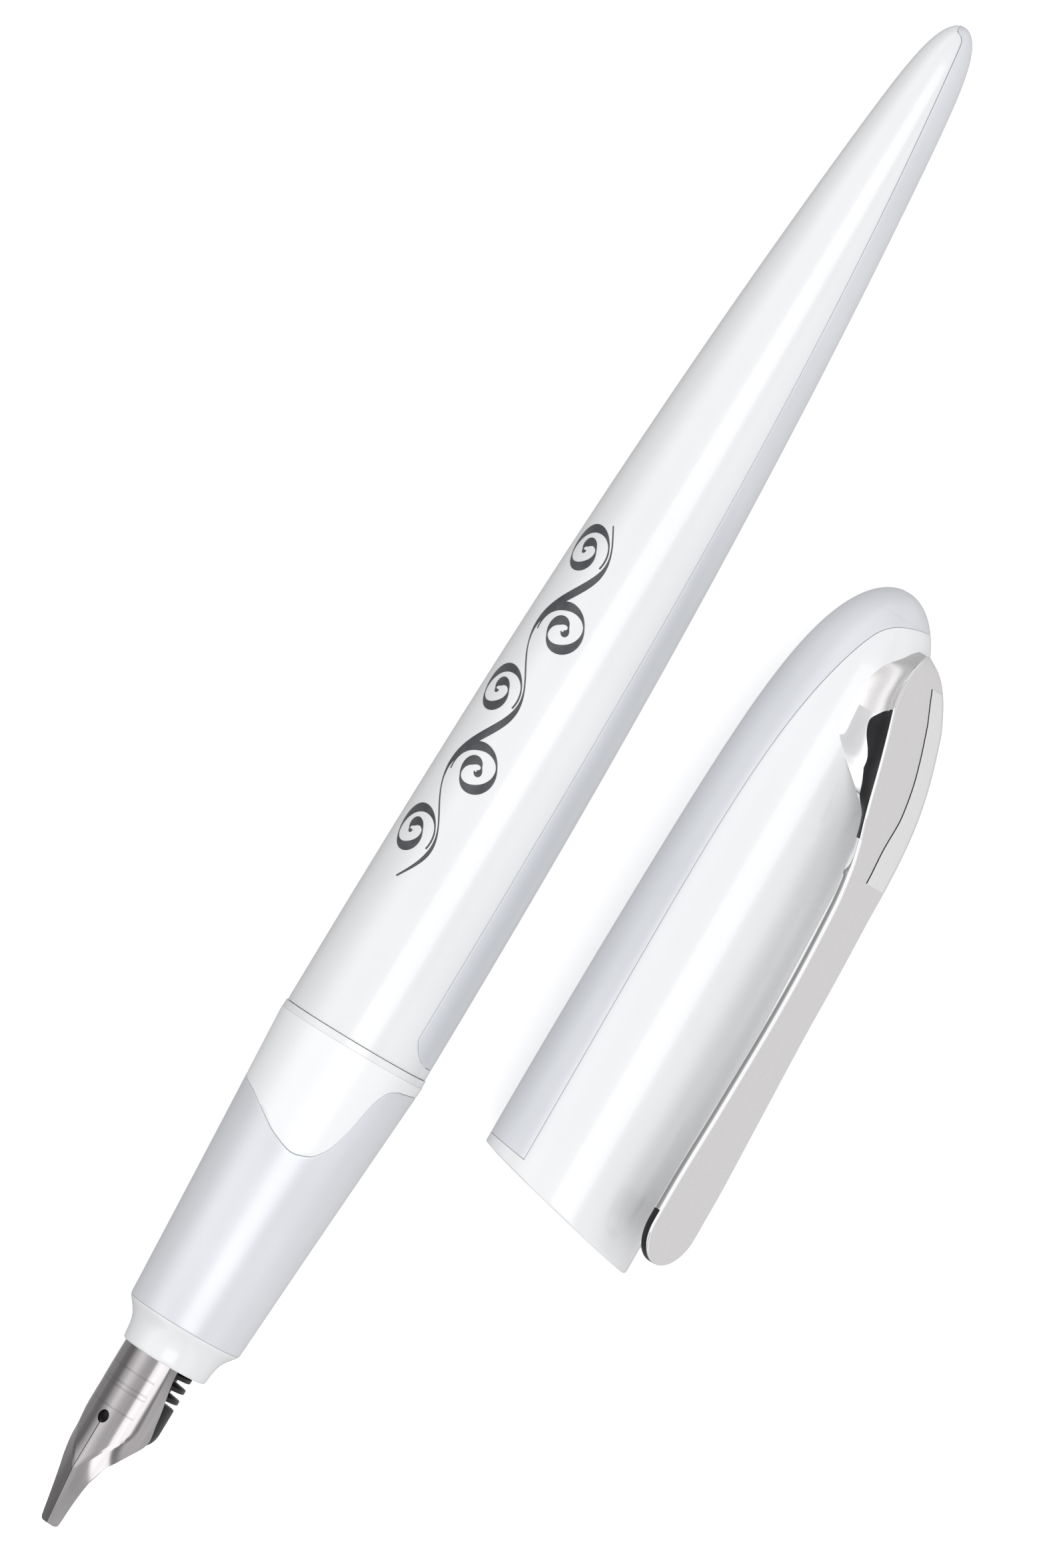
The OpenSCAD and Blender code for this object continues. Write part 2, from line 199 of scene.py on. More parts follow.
def loft(loops, closed=False, caps=None):
    """Faces between loops of equal length. caps is None, "fan" or "pairs"."""
    n = len(loops[0])
    verts = [p for loop in loops for p in loop]
    pairs = list(zip(range(len(loops)), range(1, len(loops))))
    if closed:
        pairs.append((len(loops) - 1, 0))
    faces = []
    for a, b in pairs:
        for i in range(n):
            j = (i + 1) % n
            faces.append((a * n + i, a * n + j, b * n + j, b * n + i))
    ends = ((0, True), (len(loops) - 1, False))
    if caps == "fan":
        for k, flip in ends:
            middle = len(verts)
            verts.append(tuple(sum(c) / n for c in zip(*loops[k])))
            for i in range(n):
                j = (i + 1) % n
                a, b = k * n + i, k * n + j
                faces.append((middle, b, a) if flip else (middle, a, b))
    elif caps == "pairs":
        for k, flip in ends:
            for i in range(n // 2 - 1):
                quad = (k * n + i, k * n + i + 1, k * n + n - 2 - i, k * n + n - 1 - i)
                faces.append(tuple(reversed(quad)) if flip else quad)
    return verts, faces


def piece(name, shape, matrix, body, materials, stands_for=(), sharp=40, pick=None):
    """Makes a piece from (verts, faces) in mm; pick(centre in mm) chooses each face's material.

    A piece that bends between two bodies rides neither, so its body is None.
    """
    verts, faces = shape
    mesh = bpy.data.meshes.new(name)
    mesh.from_pydata([matrix @ (Vector(v) * MM) for v in verts], [], faces)
    obj = bpy.data.objects.new(name, mesh)
    bpy.context.scene.collection.objects.link(obj)
    for m in materials:
        mesh.materials.append(m)
    if pick:
        for polygon in mesh.polygons:
            centre = sum((Vector(verts[i]) for i in polygon.vertices), Vector())
            polygon.material_index = pick(centre / len(polygon.vertices))
    tidy_mesh(mesh, sharp)
    if body:
        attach(obj, body)
    if stands_for:
        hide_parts(*stands_for)
    return obj


def tidy_mesh(mesh, sharp):
    """Merges doubled points, drops empty faces, turns normals outwards and shades smoothly."""
    work = bmesh.new()
    work.from_mesh(mesh)
    bmesh.ops.remove_doubles(work, verts=work.verts, dist=1e-6)
    bmesh.ops.dissolve_degenerate(work, edges=work.edges, dist=5e-7)
    bmesh.ops.recalc_face_normals(work, faces=work.faces)
    work.to_mesh(mesh)
    work.free()
    for polygon in mesh.polygons:
        polygon.use_smooth = True
    mesh.set_sharp_from_angle(angle=math.radians(sharp))


def turned(profile, segments=128):
    """A closed solid turned about x from a closed outline of (x, radius) points."""
    angles = [2 * math.pi * k / segments for k in range(segments)]
    return loft([[polar(x, r, a) for a in angles] for x, r in profile], closed=True)


# ---- materials ----
class Nodes:
    """Short calls for building one material's node tree."""

    def __init__(self, name):
        self.material = bpy.data.materials.new(name)
        self.material.use_nodes = True
        self.tree = self.material.node_tree
        self.shader = self.tree.nodes["Principled BSDF"]
        coords = self.tree.nodes.new("ShaderNodeTexCoord")
        self.coords = coords.outputs["Object"]

    def set(self, **values):
        for key, value in values.items():
            socket = self.shader.inputs[key.replace("_", " ")]
            socket.default_value = (*value, 1) if isinstance(value, tuple) else value

    def scaled(self, scale):
        mapping = self.tree.nodes.new("ShaderNodeMapping")
        mapping.inputs["Scale"].default_value = scale
        self.tree.links.new(self.coords, mapping.inputs["Vector"])
        return mapping.outputs["Vector"]

    def noise(self, scale, stretch=(1, 1, 1), detail=2.0):
        node = self.tree.nodes.new("ShaderNodeTexNoise")
        node.inputs["Scale"].default_value = scale
        node.inputs["Detail"].default_value = detail
        self.tree.links.new(self.scaled(stretch), node.inputs["Vector"])
        return node.outputs["Fac"]

    def ramp(self, value, stops):
        node = self.tree.nodes.new("ShaderNodeValToRGB")
        elements = node.color_ramp.elements
        while len(elements) < len(stops):
            elements.new(0.5)
        for element, (at, colour) in zip(elements, stops):
            element.position = at
            element.color = (*colour, 1)
        self.tree.links.new(value, node.inputs["Fac"])
        return node.outputs["Color"]

    def range(self, value, low, high):
        node = self.tree.nodes.new("ShaderNodeMapRange")
        node.inputs["To Min"].default_value = low
        node.inputs["To Max"].default_value = high
        self.tree.links.new(value, node.inputs["Value"])
        return node.outputs["Result"]

    def link(self, value, key):
        self.tree.links.new(value, self.shader.inputs[key])

    def bump(self, value, distance_mm, strength=1.0):
        node = self.tree.nodes.new("ShaderNodeBump")
        node.inputs["Distance"].default_value = distance_mm * MM
        node.inputs["Strength"].default_value = strength
        self.tree.links.new(value, node.inputs["Height"])
        self.tree.links.new(node.outputs["Normal"], self.shader.inputs["Normal"])


def white_gloss():
    """Moulded white under clear lacquer: faint tone drift and a very slight ripple."""
    n = Nodes("white_gloss")
    n.set(Roughness=0.26, Coat_Weight=0.7, Coat_Roughness=0.09, IOR=1.5)
    drift = n.noise(60, detail=3.0)
    n.link(n.ramp(drift, [(0.3, (0.80, 0.805, 0.815)), (0.7, (0.83, 0.835, 0.84))]), "Base Color")
    n.link(n.range(n.noise(900, detail=0.0), 0.24, 0.28), "Roughness")
    n.bump(n.noise(90, detail=0.0), 0.004, 0.5)
    return n.material


def pearl(name, dark, light, metallic, rough):
    """Pearlescent moulding: clouds of fine mica that take the light a little differently."""
    n = Nodes(name)
    n.set(Metallic=metallic, Roughness=rough, Coat_Weight=0.3, Coat_Roughness=0.15, IOR=1.5)
    mica = n.noise(7000, detail=1.0)
    clouds = n.noise(220, (0.35, 1, 1), detail=4.0)
    n.link(n.ramp(clouds, [(0.25, dark), (0.75, light)]), "Base Color")
    n.link(n.range(mica, rough - 0.05, rough + 0.07), "Roughness")
    n.bump(mica, 0.0008, 0.3)
    return n.material


def steel():
    """Rolled stainless steel with its fine grain running along the nib."""
    n = Nodes("nib_steel")
    n.set(Metallic=1.0, Roughness=0.17)
    grain = n.noise(1400, (0.05, 1, 1), detail=5.0)
    n.link(n.ramp(grain, [(0.3, (0.37, 0.355, 0.36)), (0.7, (0.45, 0.43, 0.435))]), "Base Color")
    n.link(n.range(grain, 0.13, 0.21), "Roughness")
    n.bump(grain, 0.0012, 0.3)
    return n.material


def chrome():
    """Bright plating, broken only by very faint polishing marks."""
    n = Nodes("clip_chrome")
    n.set(Metallic=1.0, Roughness=0.05)
    marks = n.noise(700, (0.2, 1, 1), detail=3.0)
    n.link(n.ramp(marks, [(0.3, (0.86, 0.86, 0.87)), (0.7, (0.93, 0.93, 0.935))]), "Base Color")
    n.link(n.range(marks, 0.035, 0.07), "Roughness")
    n.bump(n.noise(250), 0.002, 0.25)
    return n.material


def satin(name, dark, light, rough):
    """Satin plating: fine even blasting under a warm grey metal."""
    n = Nodes(name)
    n.set(Metallic=1.0, Roughness=rough)
    grains = n.noise(9000, detail=2.0)
    n.link(n.ramp(grains, [(0.3, dark), (0.7, light)]), "Base Color")
    n.link(n.range(grains, rough - 0.06, rough + 0.06), "Roughness")
    n.bump(grains, 0.0015, 0.3)
    return n.material


def plain(name, dark, light, rough, scale=600, bump_mm=0.004, **more):
    """A moulded or rubber surface with slight mottling and a fine skin texture."""
    n = Nodes(name)
    n.set(Roughness=rough, **more)
    mottle = n.noise(scale, detail=4.0)
    n.link(n.ramp(mottle, [(0.3, dark), (0.7, light)]), "Base Color")
    n.link(n.range(mottle, rough * 0.85, rough * 1.15), "Roughness")
    n.bump(n.noise(scale * 4), bump_mm, 0.5)
    return n.material


WHITE = white_gloss()
PEARL_GREY = pearl("pearl_grey", (0.69, 0.705, 0.735), (0.75, 0.765, 0.795), 0.2, 0.36)
PEARL_WHITE = pearl("pearl_white", (0.86, 0.875, 0.88), (0.90, 0.91, 0.915), 0.06, 0.34)
STEEL = steel()
CHROME = chrome()
SATIN = satin("clip_satin", (0.76, 0.745, 0.74), (0.82, 0.805, 0.80), 0.34)
# A lighter satin for the raised panel, partly a smoother finish and partly a painted highlight along that
# side of the face
PANEL_SATIN_HIGHLIGHT = satin("clip_panel_highlight", (0.86, 0.86, 0.86), (0.92, 0.92, 0.92), 0.24)
# The feed's own black, also put on the clip as painted shade and reflection
BLACK_AND_PAINTED_SHADE = plain("feed_black", (0.008, 0.008, 0.009), (0.018, 0.018, 0.02), 0.4, Specular_IOR_Level=0.22)
RUBBER = plain("seal_rubber", (0.01, 0.01, 0.01), (0.022, 0.022, 0.022), 0.55)
INK = plain("cartridge", (0.02, 0.04, 0.22), (0.05, 0.1, 0.4), 0.2, Coat_Weight=0.4)
BALL = plain("ball_white", (0.75, 0.75, 0.75), (0.85, 0.85, 0.85), 0.2)
PRINT = plain("print_grey", (0.05, 0.055, 0.06), (0.085, 0.09, 0.095), 0.3, scale=900)


# ---- barrel ----
STRIP_FRONT = BARREL_X + 0.98
STRIP_HALF = 4.85
STRIP_CORNER = 2.5
BARREL_SIDE = math.pi / 2  # the barrel's strip faces -Y
CAVITY_R = 4.75
SPIGOT_BORE_R = 5.47
EDGE_STEPS = (0, 0.006, 0.02, 0.045, 0.07)  # stations across a strip's rounded front edge


def half_angle(radius, edge):
    """Half the angle that a strip spans where its edge lies this far beyond the axis."""
    return math.acos(max(-1.0, min(1.0, -edge / max(radius, 1e-4))))


def barrel_half_angle(x):
    """The strip's half angle, with a rounded corner at its front end."""
    radius = barrel_out(x)
    full = half_angle(radius, barrel_strip_edge(x))
    run = x - STRIP_FRONT
    if run >= STRIP_CORNER:
        return full
    rise = math.sqrt(max(0.0, STRIP_CORNER**2 - (STRIP_CORNER - max(0.0, run)) ** 2))
    return min(full, math.asin((STRIP_HALF - STRIP_CORNER + rise) / radius))


def arc(low, high, count, radius, base):
    """(angle, radius) pairs across an arc whose two edges are rounded over."""
    width = (high - low) * radius
    if width < 4 * FILLET or radius < 0.3:
        return [(low + (high - low) * k / (count + 8), base) for k in range(count + 9)]
    steps = spread(0.0, width, count)
    return [(low + d / radius, base - fillet(min(d, width - d))) for d in steps]


def strip_loop(place, radius, half, drop, side):
    """One closed section of a let-in strip: its outer arc, then its inner arc back."""
    trim = SEAM / max(radius, 0.3)
    outer = arc(-half + trim, half - trim, 40, radius, radius - drop)
    inner = [(a, max(0.02, radius - STRIP_DEPTH)) for a, _ in reversed(outer)]
    return [polar(place(a + side), r, a + side) for a, r in outer + inner]


def shell_ring(place, radius, half, groove, side):
    """One outer ring of a shell, lowered where the strip is let in."""
    trim = SEAM / max(radius, 0.3)
    outer = arc(half + trim, 2 * math.pi - half - trim, 84, radius, radius)
    if groove == 0:
        outer = [(a, radius) for a, _ in outer]
    elif (math.pi - half) * radius < 2 * FILLET:
        outer = [(a, max(0.01, radius - groove)) for a, _ in outer]
    floor = [2 * math.pi - half - trim + (2 * half + 2 * trim) * k / 30 for k in range(1, 30)]
    ring = outer + [(a, max(0.01, radius - groove)) for a in floor]
    return [polar(place(a + side), r, a + side) for a, r in ring]


def barrel_shell():
    """The hollow barrel: rings from its mouth to the tail, then back along the bore."""
    groove = STRIP_DEPTH + 0.02
    front = [BARREL_X, BARREL_X + 0.02, BARREL_X + 0.06, BARREL_X + 0.12, STRIP_FRONT - SEAM]
    body = [STRIP_FRONT - SEAM + 0.002]
    body += [STRIP_FRONT + STRIP_CORNER * k / 12 for k in range(1, 12)]
    body += crowded(STRIP_FRONT + STRIP_CORNER, TAIL_X - 0.02, 90, 1.9)
    start_half = barrel_half_angle(STRIP_FRONT)
    rings = []
    for x in front:
        radius = barrel_out(x) - fillet(x - BARREL_X, 0.12)
        rings.append(shell_ring(lambda a, x=x: x, radius, start_half, 0, BARREL_SIDE))
    for x in body:
        half = barrel_half_angle(x)
        rings.append(shell_ring(lambda a, x=x: x, barrel_out(x), half, groove, BARREL_SIDE))
    bore = [(TAIL_X - 15, 0.05), (TAIL_X - 17, 1.8), (121.2, 2.54), (89.2, CAVITY_R), (56.25, CAVITY_R)]
    bore += [(56.2, SPIGOT_BORE_R), (BARREL_X, SPIGOT_BORE_R)]
    angles = [math.atan2(-p[1], p[2]) for p in rings[0]]
    rings += [[polar(x, r, a) for a in angles] for x, r in bore]
    shape = loft(rings, closed=True)
    return piece("barrel_shell_body", shape, PEN, "barrel", [WHITE], ["barrel_shell"])


def barrel_strip():
    """The pearl strip let into the barrel, from its round front end to the tail."""
    xs = [STRIP_FRONT + d for d in EDGE_STEPS]
    xs += [STRIP_FRONT + STRIP_CORNER * k / 16 for k in range(1, 16)]
    xs += crowded(STRIP_FRONT + STRIP_CORNER, TAIL_X - 0.03, 90, 1.9)
    loops = []
    for x in sorted(set(xs)):
        half, drop = barrel_half_angle(x), fillet(x - STRIP_FRONT)
        loops.append(strip_loop(lambda a, x=x: x, barrel_out(x), half, drop, BARREL_SIDE))
    shape = loft(loops, caps="pairs")
    return piece("barrel_pearl_strip", shape, PEN, "barrel", [PEARL_GREY], ["barrel_strip"])


# ---- section ----
# The wavy rear edge of the grip: (angle from the top, distance along the pen)
WAVE = [(-180, 42.0), (-130, 40.4), (-90, 39.1), (-56, 38.35), (-38, 37.5), (-16, 36.3), (2, 35.75),
        (16, 36.2), (25, 37.3), (31, 39.1), (37, 42.4), (43, 43.6), (54, 44.1), (90, 44.3), (180, 42.0)]


def wave_x(angle):
    """Where the wavy edge lies at this angle round the section."""
    degrees = (math.degrees(angle) + 180) % 360 - 180
    return smooth_through(WAVE, degrees)


def sleeve(start, end, count, wall):
    """A thin sleeve over the section between two edges, each a function of the angle."""
    angles = [2 * math.pi * k / 240 for k in range(240)]
    steps = spread(0.0, 1.0, count, 0.004)
    outer, inner = [], []
    for s in steps:
        loop, under = [], []
        for a in angles:
            x0, x1 = start(a), end(a)
            x = x0 + (x1 - x0) * s
            drop = fillet(min(x - x0, x1 - x))
            loop.append(polar(x, grip_out(x) - drop, a))
            under.append(polar(x, grip_out(x) - wall, a))
        outer.append(loop)
        inner.append(under)
    return loft(outer + inner[::-1], closed=True)


def section():
    """The grip sleeve and the collar behind it, which meet along the wave."""
    grip = sleeve(lambda a: GRIP_X - 0.02, lambda a: wave_x(a) - SEAM / 2, 60, GRIP_WALL)
    collar = sleeve(lambda a: wave_x(a) + SEAM / 2, lambda a: JOINT_X - 0.005, 24, GRIP_WALL)
    piece("grip_sleeve_body", grip, PEN, "section", [PEARL_GREY], ["grip_sleeve"])
    piece("wave_collar_body", collar, PEN, "section", [PEARL_WHITE], ["section_collar"])


def barrel_ring():
    """The thin ring at the barrel's mouth: nearly square in front, well rounded behind."""
    inner, outer, x0, x1 = 5.1, 6.47, JOINT_X, JOINT_X + 0.6
    front = [(x0 + fillet(d, 0.05), outer - 0.05 + d) for d in (0, 0.015, 0.035, 0.05)]
    rear = [(x1 - fillet(d, 0.2), outer - 0.2 + d) for d in (0.2, 0.17, 0.12, 0.06, 0)]
    shape = turned([(x0, inner), *front, *rear, (x1, inner)])
    return piece("barrel_mouth_ring", shape, PEN, "barrel", [WHITE], ["barrel_ring"])


# ---- nib unit ----
NOSE = [(16.0, 3.56), (15.98, 3.62), (16.02, 3.7), (16.12, 3.76), (16.4, 3.8), (17.0, 3.86), (17.5, 3.95),
        (18.0, 4.12), (18.45, 4.4), (18.8, 4.68), (19.05, 4.88), (19.2, 4.97), (19.26, 4.98)]


def nib_holder():
    """The flared nose and the socket behind it, inside the section."""
    back = [(19.27, 4.9), (19.27, 3.9), (27.4, 3.9), (27.4, 1.45), (26.3, 1.45), (26.3, 3.55)]
    shape = turned([*NOSE, *back])
    return piece("nose_holder", shape, PEN, "nib_unit", [WHITE], ["nib_holder"])


NIB_TIP_X = 0.3
NIB_SHARP = 28
# The nib's half width, laid flat, by distance from the tip
NIB_HALF = [(0.3, 0.55), (0.36, 0.74), (0.5, 0.86), (0.8, 0.93), (2.1, 1.1), (3.4, 1.3), (4.7, 1.57),
            (5.5, 1.85), (6.4, 2.2), (7.2, 2.68), (8.1, 3.25), (8.9, 3.78), (9.6, 4.18), (10.2, 4.32),
            (11.5, 4.22), (16, 3.45), (24, 3.4)]
# The point bends down in front of a crease, which lies further back towards the sides
CREASE_START = 5.2
CREASE_RUN = 1.48
POINT_SLOPE = 0.19
# How much of the half width is rolled round; the rest is a flat wing
WING = [(9, 3.3), (10, 3.25), (15.8, 2.8), (24, 2.5)]
WING_KINK = math.radians(-7)
# Fine lines pressed across the nib, by distance from the tip
ENGRAVED = (10.9, 12.6, 13.0, 14.2)
HOLE_X = 9.95


def nib_point(x, share, depth):
    """A point of the nib: share is -1 to 1 across it, depth is how far under its top surface."""
    size = abs(share) * smooth_through(NIB_HALF, x)
    flatness = 1 + 5.0 * ease((9.5 - x) / 9.5) ** 2
    beyond = max(0.0, size - smooth_through(WING, x))
    angle = (size - beyond) / (NIB_R * flatness)
    radius = NIB_R * flatness - depth
    kink = angle - WING_KINK * ease((x - 8.8) / 1.6)
    across = radius * math.sin(angle) + beyond * math.cos(kink)
    height = NIB_R - depth - radius * (1 - math.cos(angle)) - beyond * math.sin(kink)
    ahead = CREASE_START + CREASE_RUN * size - x
    height -= POINT_SLOPE * max(0.0, ahead) + 0.03 * math.exp(-((ahead + 0.06) ** 2) / 0.006)
    if depth == 0 and size < 2.3 and any(abs(x - line) < 0.045 for line in ENGRAVED):
        height -= 0.035
    return (x, math.copysign(across, share), height)


def nib():
    """The italic nib: one sheet bent over the feed, then slit and pierced."""
    xs = [NIB_TIP_X + d for d in (0, 0.03, 0.06, 0.12, 0.2, 0.3)] + [0.8 + 0.14 * k for k in range(166)]
    xs = sorted(xs + [line + d for line in ENGRAVED for d in (-0.06, -0.04, 0.04, 0.06)])
    shares = [math.sin(math.pi / 2 * k / 44) for k in range(-44, 45)]
    loops = []
    for x in xs:
        thin = NIB_T * (0.55 + 0.45 * ease(x / 6))
        top = [nib_point(x, q, 0) for q in shares]
        under = [nib_point(x, q, thin) for q in reversed(shares)]
        loops.append(top + under)
    shape = loft(loops, caps="pairs")
    obj = piece("italic_nib", shape, NIB, "nib_unit", [STEEL], ["nib"], sharp=NIB_SHARP)
    cut(obj, slit_tool())
    cut(obj, hole_tool())
    return obj


def tool(name, shape):
    """A solid in the nib's frame that is only there to cut with."""
    verts, faces = shape
    mesh = bpy.data.meshes.new(name)
    mesh.from_pydata([NIB @ (Vector(v) * MM) for v in verts], [], faces)
    obj = bpy.data.objects.new(name, mesh)
    bpy.context.scene.collection.objects.link(obj)
    tidy_mesh(mesh, 30)
    return obj


def slit_tool():
    """A thin wedge through the nib from its tip to the breather hole."""
    tip, root, high, low = 0.02, 0.045, 6.0, 0.5
    loops = []
    for x, half in ((-1.0, tip), (HOLE_X - 0.15, root)):
        loops.append([(x, -half, low), (x, half, low), (x, half, high), (x, -half, high)])
    return tool("slit_tool", loft(loops, caps="fan"))


def hole_tool():
    """The breather hole: an oval, a little longer along the nib."""
    turn = [2 * math.pi * k / 48 for k in range(48)]
    loops = [[(HOLE_X + 0.56 * math.cos(a), 0.5 * math.sin(a), z) for a in turn] for z in (0.5, 6.0)]
    return tool("hole_tool", loft(loops, caps="fan"))


def cut(obj, cutter):
    """Cuts the cutter's shape out of obj for good."""
    modifier = obj.modifiers.new("cut", "BOOLEAN")
    modifier.operation = "DIFFERENCE"
    modifier.solver = "EXACT"
    modifier.object = cutter
    depsgraph = bpy.context.evaluated_depsgraph_get()
    mesh = bpy.data.meshes.new_from_object(obj.evaluated_get(depsgraph))
    obj.modifiers.clear()
    obj.data = mesh
    bpy.data.objects.remove(cutter)
    mesh.set_sharp_from_angle(angle=math.radians(NIB_SHARP))


FEED_R = 2.92
FEED_CORE_R = 1.9
FEED_LIFT = NIB_R - NIB_T - FEED_R - 0.02
FEED_X = 9.2
FIN_PITCH = 0.98


def feed():
    """The feed: a rounded front block, three comb fins and the stem that reaches the piercing tube."""
    profile = [(FEED_X, 0.0)]
    for k in range(11):
        a = math.pi / 2 * k / 10
        profile.append((FEED_X + 1.6 * (1 - math.cos(a)), FEED_CORE_R + 1.02 * math.sin(a)))
    profile += [(12.9, FEED_R), (12.95, FEED_R - 0.05), (13.0, 2.0)]
    for k in range(3):
        x = 13.35 + k * FIN_PITCH
        front = [(x, FEED_CORE_R), (x + 0.06, FEED_R - 0.35), (x + 0.1, FEED_R - 0.04), (x + 0.14, FEED_R)]
        back = [(x + 0.44, FEED_R), (x + 0.48, FEED_R - 0.04), (x + 0.55, FEED_R - 0.45)]
        profile += [*front, *back, (x + 0.66, FEED_CORE_R)]
    profile += [(16.5, FEED_CORE_R), (16.55, FEED_R - 0.05), (26.1, FEED_R - 0.05)]
    profile += [(26.1, 1.1), (27.3, 1.1), (27.3, 0.0)]
    matrix = NIB @ Matrix.Translation((0, 0, FEED_LIFT * MM))
    return piece("ink_feed", turned(profile, 96), matrix, "nib_unit", [BLACK_AND_PAINTED_SHADE], ["feed"])


# ---- cap ----
CAP_STRIP_X = 1.73
STRIP_SLOPE = math.tan(math.radians(7.5))
CAP_SIDE = -math.pi / 2  # the cap's strip faces +Y
# Extra stations where the strip's edge swings across the dome
DOME_XS = [52.03 + 0.041 * k for k in range(58)]


def slanted(x, angle, radius):
    """Where station x lies at this angle: stations near the mouth slope with it, later ones less."""
    fade = 1 - ease((x - 3.5) / 14)
    slope = MOUTH_SLOPE + (STRIP_SLOPE - MOUTH_SLOPE) * min(1.0, x / CAP_STRIP_X)
    return x + (MOUTH_X - math.sin(angle) * radius * slope) * fade


def cap_half_angle(x):
    """The strip's half angle, kept just short of a full turn over the dome."""
    return min(math.pi - 0.02, math.pi - half_angle(cap_out(x), cap_strip_edge(x)))


def cap_place(x):
    """Gives the function that puts each angle of this station in its place along the cap."""
    radius = cap_out(max(0.0, x))
    return lambda a: slanted(x, a, radius)


def cap_shell():
    """The hollow cap: rings from its slanted mouth to the dome, then back along the bore."""
    groove = STRIP_DEPTH + 0.02
    front = [0.0, 0.015, 0.05, 0.1, 0.2, 0.5, CAP_STRIP_X - SEAM]
    body = [CAP_STRIP_X - SEAM + 0.002] + [CAP_STRIP_X + 0.4 * k for k in range(1, 40)]
    body = sorted(body + crowded(CAP_STRIP_X + 16, CAP_LEN - 0.02, 90, 2.0) + DOME_XS)
    rings = []
    for x in front + body:
        radius = cap_out(x) - fillet(x, 0.2)
        deep = groove if x in body else 0
        rings.append(shell_ring(cap_place(x), radius, cap_half_angle(x), deep, CAP_SIDE))
    angles = [math.atan2(-p[1], p[2]) for p in rings[3]]
    bore = [(50.6, 0.05), (50.6, 4.1), (26.5, 6.05), (11, 6.05)]
    bore += [(11, 6.81), (8, 6.81), (8, CAP_BORE_R)]
    rings += [[polar(x, r, a) for a in angles] for x, r in bore]
    lip = [(0.5, CAP_BORE_R), (0.12, CAP_BORE_R), (0.05, CAP_BORE_R + 0.04), (0.0, CAP_BORE_R + 0.12)]
    rings += [[polar(slanted(x, a, CAP_BORE_R), r, a) for a in angles] for x, r in lip]
    shape = loft(rings, closed=True)
    return piece("cap_shell_body", shape, CAP, "cap", [WHITE], ["cap_shell"])


def cap_strip():
    """The pearl strip let into the cap, whose edge swings across the dome."""
    xs = [CAP_STRIP_X + d for d in EDGE_STEPS]
    xs += [CAP_STRIP_X + 0.4 * k for k in range(1, 40)]
    xs = sorted(xs + crowded(CAP_STRIP_X + 16, CAP_LEN - 0.03, 90, 2.0) + DOME_XS)
    loops = []
    for x in xs:
        half, drop = cap_half_angle(x), fillet(x - CAP_STRIP_X)
        loops.append(strip_loop(cap_place(x), cap_out(x), half, drop, CAP_SIDE))
    shape = loft(loops, caps="pairs")
    return piece("cap_pearl_strip", shape, CAP, "cap", [PEARL_GREY], ["cap_strip"])


# ---- clip ----
# By distance along the cap: the height of the clip's face over the cap's axis (FACE), half the
# face's width (HALF), half the spread of the side walls' lower edges (FOOT), and the height of
# those edges until they reach the cap (FOOT_HEIGHT)
FACE = [(-0.3, 11.06), (12, 11.1), (24, 11.03), (31, 10.8), (34.3, 10.55), (36.7, 10.18), (38.8, 9.72),
        (41, 9.2), (43, 8.65), (45, 8.0), (47.2, 7.2), (49, 6.55), (50.4, 6.05), (51.6, 5.5), (52.3, 4.9)]
HALF = [(2.9, 3.1), (5.5, 3.1), (13, 2.78), (23, 2.42), (31, 2.5), (34.3, 2.8), (36.7, 3.2), (38.8, 3.6),
        (41, 3.85), (44, 3.95), (47.2, 3.9), (49, 3.4), (50.4, 2.65), (51.4, 1.75), (52.3, 0.3)]
FOOT = [(34, 2.7), (36, 2.75), (38.7, 2.95), (40.1, 3.35), (41.8, 3.6), (43.3, 4.6), (44.5, 5.0),
        (45.6, 4.92), (47.6, 4.48), (49.9, 3.33), (51.2, 2.0), (51.9, 1.2), (52.3, 0.5)]
FOOT_HEIGHT = [(36, 9.5), (38.7, 8.75), (40.1, 7.5), (41.8, 5.4)]
WALL_X = 34  # where the side walls start to reach down past the blade's own thickness
FOOT_X = 41.8  # where they reach the cap
CLIP_END = 52.3
TIP_X = 2.9
TIP_HALF = 3.1
BEVEL = 0.18
FLEX_HALF = 2.5
# The edge of the raised panel on the face, to the side of the clip's middle
PANEL = [(34.2, -0.3), (36.8, 0.05), (40.3, 1.15), (43.5, 1.4), (47.2, 1.3), (49, 0.95), (50.2, 0.7)]
# How much of the side wall, down from the face, is painted black as shade and reflection under the face's
# edge
PAINTED_SHADE_BAND = [(37, 1.0), (38.8, 1.0), (40.9, 0.6), (41.8, 0.52), (43, 0.4), (45.4, 0.5), (46.6, 0.3),
          (47.2, 0)]
# The dark finish is painted shade and reflection in black; the bright finish is a lighter satin that
# paints a highlight on the raised panel
POLISHED, FROSTED, PAINTED_SHADE, PAINTED_PANEL_HIGHLIGHT = range(4)


def clip_half(x):
    """Half the width of the clip's face, with a round free end."""
    if x < TIP_X:
        return math.sqrt(max(0.0, TIP_HALF**2 - (x - TIP_X) ** 2))
    return smooth_through(HALF, x)


def clip_face(x):
    return smooth_through(FACE, x)


def cap_height(t, x):
    """Height of the cap's surface this far to the side of the clip's middle."""
    return math.sqrt(max(0.05, cap_out(x) ** 2 - t * t))


def clip_floor(t, x):
    """Height of the clip's underside: its own thickness, then down along the wall to the cap."""
    under = clip_face(x) - CLIP_T
    if x < FOOT_HEIGHT[0][0]:
        return under
    if x > FOOT_X:
        return cap_height(t, x) - 0.06
    return min(under, smooth_through(FOOT_HEIGHT, x))


